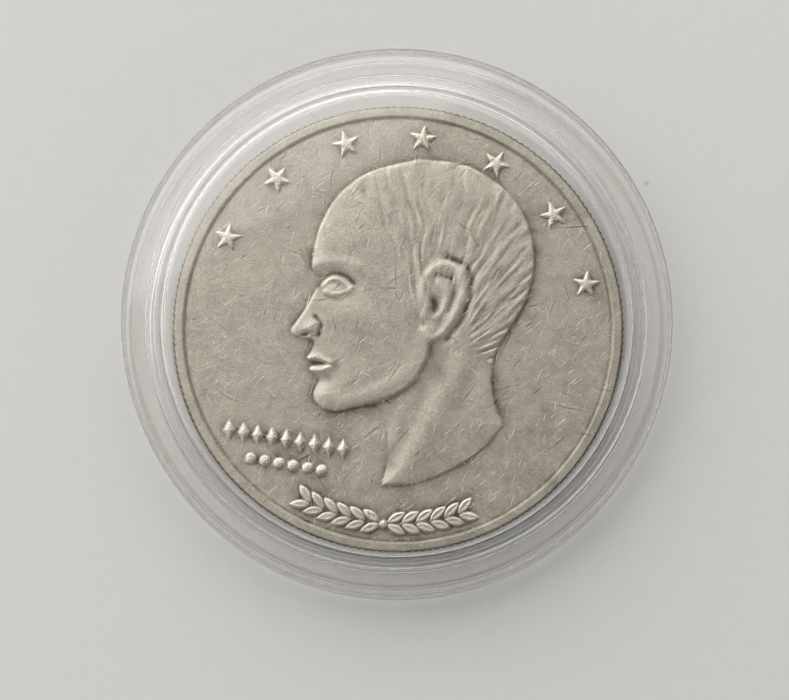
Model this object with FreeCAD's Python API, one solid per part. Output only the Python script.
import FreeCAD, Part
import math
import os

# Coin capsule: a clear round box, moulded as two shells, closed over one large clad coin.
# Millimetres, +Z up. The origin is the centre of the plane that the foot ring stands on.
# Outlines are lists of (radius, height, corner rounding), turned about Z.

# ---- Capsule: both shells ----
CAPSULE_RADIUS = 23.2
CAPSULE_HEIGHT = 6.0
EDGE_ROUND = 0.45            # outer top and bottom edges
WINDOW_RADIUS = 21.0         # the flat windows, inside the foot ring and the stacking rim
WINDOW_RECESS = 0.35         # how far each window lies behind its rim
WINDOW_THICKNESS = 1.1
WINDOW_DRAFT = 0.1           # radial draft of the recess wall
SMALL_ROUND = 0.12           # broken edges

# ---- Parting line: a stepped joint between the shells ----
PARTING_HEIGHT = 2.95        # outer land of the base
STEP_RADIUS = 22.3
STEP_HEIGHT = 0.5            # inner land above outer land
PARTING_GAP = 0.05           # air left between the two shells' lands

# ---- Coin pocket and the wall round it ----
POCKET_RADIUS = 20.2
POCKET_ROUND = 0.3           # floor to wall
WALL_THICKNESS = 0.95
WALL_TOP = 4.35
WALL_ROUND = 0.16
WALL_FIT = 0.1               # radial gap between the wall and the lid's groove
BEAD_HEIGHT = 0.06           # snap bead round the outside of the wall
BEAD_HALF_WIDTH = 0.18
BEAD_LEVEL = 3.95

# ---- Locating ring under the lid ----
RING_BOTTOM = 4.12
RING_LIP = 0.22              # flat underside of the ring
RING_SLOPE_RADIUS = 19.65    # where the ring's inner slope meets the ceiling
RING_SLOPE_ROUND = 0.75

# ---- Coin ----
COIN_RADIUS = 19.05
COIN_THICKNESS = 2.58
COIN_SHIFT = (0.1, -0.55)    # the coin lies loose, off the capsule's axis
COIN_GAP = 0.02              # coin to pocket floor
CLAD_THICKNESS = 0.43        # each face layer, a sixth of the coin
COIN_RIM_WIDTH = 0.95
COIN_FIELD_DEPTH = 0.3       # field below the rim
REED_COUNT = 198
REED_DEPTH = 0.12
RELIEF_HEIGHT = 0.2          # portrait above the field
ORNAMENT_HEIGHT = 0.14       # stars, beads and leaves above the field
RELIEF_ROOT = 0.05           # relief sunk into the field, so that it joins it

# ---- Heights worked out ----
FLOOR_TOP = WINDOW_RECESS + WINDOW_THICKNESS
CEILING = CAPSULE_HEIGHT - WINDOW_RECESS - WINDOW_THICKNESS
STEP_TOP = PARTING_HEIGHT + STEP_HEIGHT
WALL_OUTER = POCKET_RADIUS + WALL_THICKNESS
COIN_BOTTOM = FLOOR_TOP + COIN_GAP
COIN_TOP = COIN_BOTTOM + COIN_THICKNESS
FIELD_TOP = COIN_TOP - COIN_FIELD_DEPTH
FIELD_BOTTOM = COIN_BOTTOM + COIN_FIELD_DEPTH
FIELD_RADIUS = COIN_RADIUS - COIN_RIM_WIDTH


def rounded_wire(corners):
    """A closed wire in the XZ plane through (x, z, rounding) corners, rounded by tangent arcs."""
    count = len(corners)
    stops = []
    for index in range(count):
        x, z, rounding = corners[index]
        corner = FreeCAD.Vector(x, 0, z)
        before = corners[index - 1]
        after = corners[(index + 1) % count]
        back = (FreeCAD.Vector(before[0], 0, before[1]) - corner).normalize()
        ahead = (FreeCAD.Vector(after[0], 0, after[1]) - corner).normalize()
        half_angle = back.getAngle(ahead) / 2
        if rounding == 0:
            stops.append((corner, corner, corner))
            continue
        reach = rounding / math.tan(half_angle)
        to_centre = rounding / math.sin(half_angle)
        inward = (back + ahead).normalize()
        middle = corner + inward * (to_centre - rounding)
        stops.append((corner + back * reach, middle, corner + ahead * reach))
    edges = []
    for index in range(count):
        start, middle, end = stops[index]
        if corners[index][2] > 0:
            edges.append(Part.Arc(start, middle, end).toShape())
        next_start = stops[(index + 1) % count][0]
        edges.append(Part.LineSegment(end, next_start).toShape())
    return Part.Wire(edges)


def turned(corners):
    """A solid turned about the Z axis from a closed outline of (radius, height, rounding)."""
    face = Part.Face(rounded_wire(corners))
    return face.revolve(FreeCAD.Vector(0, 0, 0), FreeCAD.Vector(0, 0, 1), 360)


def base_shell():
    """Lower shell: window, foot ring, stepped rim and the wall that holds the coin."""
    return turned([
        (0, WINDOW_RECESS, 0),
        (WINDOW_RADIUS - WINDOW_DRAFT, WINDOW_RECESS, SMALL_ROUND),
        (WINDOW_RADIUS, 0, SMALL_ROUND),
        (CAPSULE_RADIUS, 0, EDGE_ROUND),
        (CAPSULE_RADIUS, PARTING_HEIGHT, SMALL_ROUND),
        (STEP_RADIUS, PARTING_HEIGHT, 0),
        (STEP_RADIUS, STEP_TOP, SMALL_ROUND),
        (WALL_OUTER, STEP_TOP, 0),
        (WALL_OUTER, BEAD_LEVEL - BEAD_HALF_WIDTH, 0),
        (WALL_OUTER + BEAD_HEIGHT, BEAD_LEVEL, BEAD_HALF_WIDTH),
        (WALL_OUTER, BEAD_LEVEL + BEAD_HALF_WIDTH, 0),
        (WALL_OUTER, WALL_TOP, WALL_ROUND),
        (POCKET_RADIUS, WALL_TOP, WALL_ROUND),
        (POCKET_RADIUS, FLOOR_TOP, POCKET_ROUND),
        (0, FLOOR_TOP, 0),
    ])


def lid_shell():
    """Upper shell: window, stacking rim, groove over the wall and locating ring."""
    skirt = WALL_OUTER + WALL_FIT
    ring_outer = POCKET_RADIUS - WALL_FIT
    return turned([
        (0, CEILING, 0),
        (RING_SLOPE_RADIUS, CEILING, RING_SLOPE_ROUND),
        (ring_outer - RING_LIP, RING_BOTTOM, 0),
        (ring_outer, RING_BOTTOM, 0.05),
        (ring_outer, CEILING, 0),
        (skirt, CEILING, 0.08),
        (skirt, BEAD_LEVEL + BEAD_HALF_WIDTH, 0),
        (skirt + BEAD_HEIGHT, BEAD_LEVEL, BEAD_HALF_WIDTH),
        (skirt, BEAD_LEVEL - BEAD_HALF_WIDTH, 0),
        (skirt, STEP_TOP + PARTING_GAP, 0.06),
        (STEP_RADIUS + PARTING_GAP, STEP_TOP + PARTING_GAP, 0),
        (STEP_RADIUS + PARTING_GAP, PARTING_HEIGHT + PARTING_GAP, 0.06),
        (CAPSULE_RADIUS, PARTING_HEIGHT + PARTING_GAP, SMALL_ROUND),
        (CAPSULE_RADIUS, CAPSULE_HEIGHT, EDGE_ROUND),
        (WINDOW_RADIUS, CAPSULE_HEIGHT, SMALL_ROUND),
        (WINDOW_RADIUS - WINDOW_DRAFT, CAPSULE_HEIGHT - WINDOW_RECESS, SMALL_ROUND),
        (0, CAPSULE_HEIGHT - WINDOW_RECESS, 0),
    ])


def at_angle(radius, degrees, height):
    """A point on the coin at a radius and angle from the coin's own centre."""
    angle = math.radians(degrees)
    return FreeCAD.Vector(radius * math.cos(angle), radius * math.sin(angle), height)


def reeded_disc(bottom, top):
    """A flat disc with V-shaped reeds all round its edge, about the coin's centre."""
    points = []
    for reed in range(REED_COUNT):
        degrees = 360 * reed / REED_COUNT
        points.append(at_angle(COIN_RADIUS, degrees, bottom))
        points.append(at_angle(COIN_RADIUS - REED_DEPTH, degrees + 180 / REED_COUNT, bottom))
    points.append(points[0])
    face = Part.Face(Part.makePolygon(points))
    return face.extrude(FreeCAD.Vector(0, 0, top - bottom))


def prism(wire, bottom, top):
    """A closed flat wire, extruded from one height to another."""
    solid = Part.Face(wire).extrude(FreeCAD.Vector(0, 0, top - bottom))
    solid.translate(FreeCAD.Vector(0, 0, bottom))
    return solid


def portrait_wire():
    """Outline of a plain classical head in profile, facing -X, cut off by a curve at the neck."""
    face_points = [
        (2.2, 14.6), (-2.8, 13.2), (-5.7, 10.4), (-6.9, 7.6), (-7.2, 5.6), (-6.9, 4.3),
        (-7.9, 2.1), (-9.1, 0.2), (-8.4, -0.6), (-7.3, -0.9), (-7.8, -2.3), (-7.3, -2.9),
        (-7.6, -3.5), (-7.0, -4.3), (-7.2, -5.8), (-5.8, -6.9), (-3.0, -6.4), (-1.3, -7.6),
        (-0.9, -10.4), (-1.5, -13.4),
    ]
    back_points = [
        (9.0, -8.2), (7.9, -5.0), (8.3, -1.6), (10.5, 2.0), (11.6, 6.4), (10.2, 10.8),
        (6.8, 13.7), (2.2, 14.6),
    ]
    face_line = Part.BSplineCurve()
    face_line.interpolate([FreeCAD.Vector(x, y, 0) for x, y in face_points])
    back_line = Part.BSplineCurve()
    back_line.interpolate([FreeCAD.Vector(x, y, 0) for x, y in back_points])
    neck_end = FreeCAD.Vector(-1.5, -13.4, 0)
    nape_end = FreeCAD.Vector(9.0, -8.2, 0)
    neck_cut = Part.Arc(neck_end, FreeCAD.Vector(4.4, -12.1, 0), nape_end)
    return Part.Wire([face_line.toShape(), neck_cut.toShape(), back_line.toShape()])


def star_wire(centre, size, turn):
    """A five-pointed star with its first point at the given angle."""
    points = []
    for step in range(10):
        reach = size if step % 2 == 0 else size * 0.42
        points.append(centre + at_angle(reach, turn + 36 * step, 0))
    points.append(points[0])
    return Part.makePolygon(points)


def leaf_wire(centre, length, turn):
    """A pointed leaf: two arcs between its tips."""
    half = at_angle(length / 2, turn, 0)
    bulge = at_angle(length * 0.2, turn + 90, 0)
    upper = Part.Arc(centre - half, centre + bulge, centre + half)
    lower = Part.Arc(centre + half, centre - bulge, centre - half)
    return Part.Wire([upper.toShape(), lower.toShape()])


def round_wire(centre, radius):
    """A circle for a bead."""
    return Part.Wire(Part.Circle(centre, FreeCAD.Vector(0, 0, 1), radius).toShape())


def obverse_ornaments():
    """Seven stars over the head, two rows of beads before the neck, and two sprigs below."""
    wires = []
    for index in range(7):
        degrees = 151.7 - 23.07 * index
        wires.append(star_wire(at_angle(16.3, degrees, 0), 1.15, degrees))
    for index in range(9):
        wires.append(round_wire(FreeCAD.Vector(-14.2 + 1.2 * index, -8.6 - 0.2 * index, 0), 0.38))
    for index in range(6):
        wires.append(round_wire(FreeCAD.Vector(-12.4 + 1.2 * index, -11.0 - 0.2 * index, 0), 0.38))
    for degrees in (241, 248, 255, 276, 283, 290):
        wires.append(leaf_wire(at_angle(16.4, degrees, 0), 2.0, degrees + 65))
    wires.append(round_wire(at_angle(16.6, 265.7, 0), 0.45))
    return wires


def reverse_ornaments():
    """A large star inside a wreath of leaves."""
    centre = FreeCAD.Vector(0, 0, 0)
    wires = [star_wire(centre, 8.0, 90)]
    for index in range(24):
        degrees = 15 * index
        wires.append(leaf_wire(at_angle(13.6, degrees, 0), 3.0, degrees + 65))
    return wires


def coin_obverse():
    """Upper face layer: raised rim, sunk field, portrait and ornaments."""
    layer = reeded_disc(COIN_TOP - CLAD_THICKNESS, COIN_TOP)
    field = Part.makeCylinder(FIELD_RADIUS, COIN_FIELD_DEPTH, FreeCAD.Vector(0, 0, FIELD_TOP))
    root = FIELD_TOP - RELIEF_ROOT
    raised = [prism(portrait_wire(), root, FIELD_TOP + RELIEF_HEIGHT)]
    for wire in obverse_ornaments():
        raised.append(prism(wire, root, FIELD_TOP + ORNAMENT_HEIGHT))
    return layer.cut(field).multiFuse(raised)


def coin_core():
    """Copper middle layer, seen only as a stripe round the reeded edge."""
    return reeded_disc(COIN_BOTTOM + CLAD_THICKNESS, COIN_TOP - CLAD_THICKNESS)


def coin_reverse():
    """Lower face layer: raised rim, sunk field, star and wreath."""
    layer = reeded_disc(COIN_BOTTOM, COIN_BOTTOM + CLAD_THICKNESS)
    field = Part.makeCylinder(FIELD_RADIUS, COIN_FIELD_DEPTH, FreeCAD.Vector(0, 0, COIN_BOTTOM))
    root = FIELD_BOTTOM + RELIEF_ROOT
    raised = []
    for wire in reverse_ornaments():
        raised.append(prism(wire, FIELD_BOTTOM - RELIEF_HEIGHT, root))
    return layer.cut(field).multiFuse(raised)


def write_node(name, solid, shift=(0, 0)):
    """Move a solid into place and write it as one STEP file."""
    solid.translate(FreeCAD.Vector(shift[0], shift[1], 0))
    print(name, "valid", solid.isValid(), "solids", len(solid.Solids), "mm3", round(solid.Volume, 1))
    solid.exportStep("parts/" + name + ".step")


os.makedirs("parts", exist_ok=True)
write_node("base_shell", base_shell())
write_node("lid_shell", lid_shell())
write_node("coin_obverse", coin_obverse(), COIN_SHIFT)
write_node("coin_core", coin_core(), COIN_SHIFT)
write_node("coin_reverse", coin_reverse(), COIN_SHIFT)
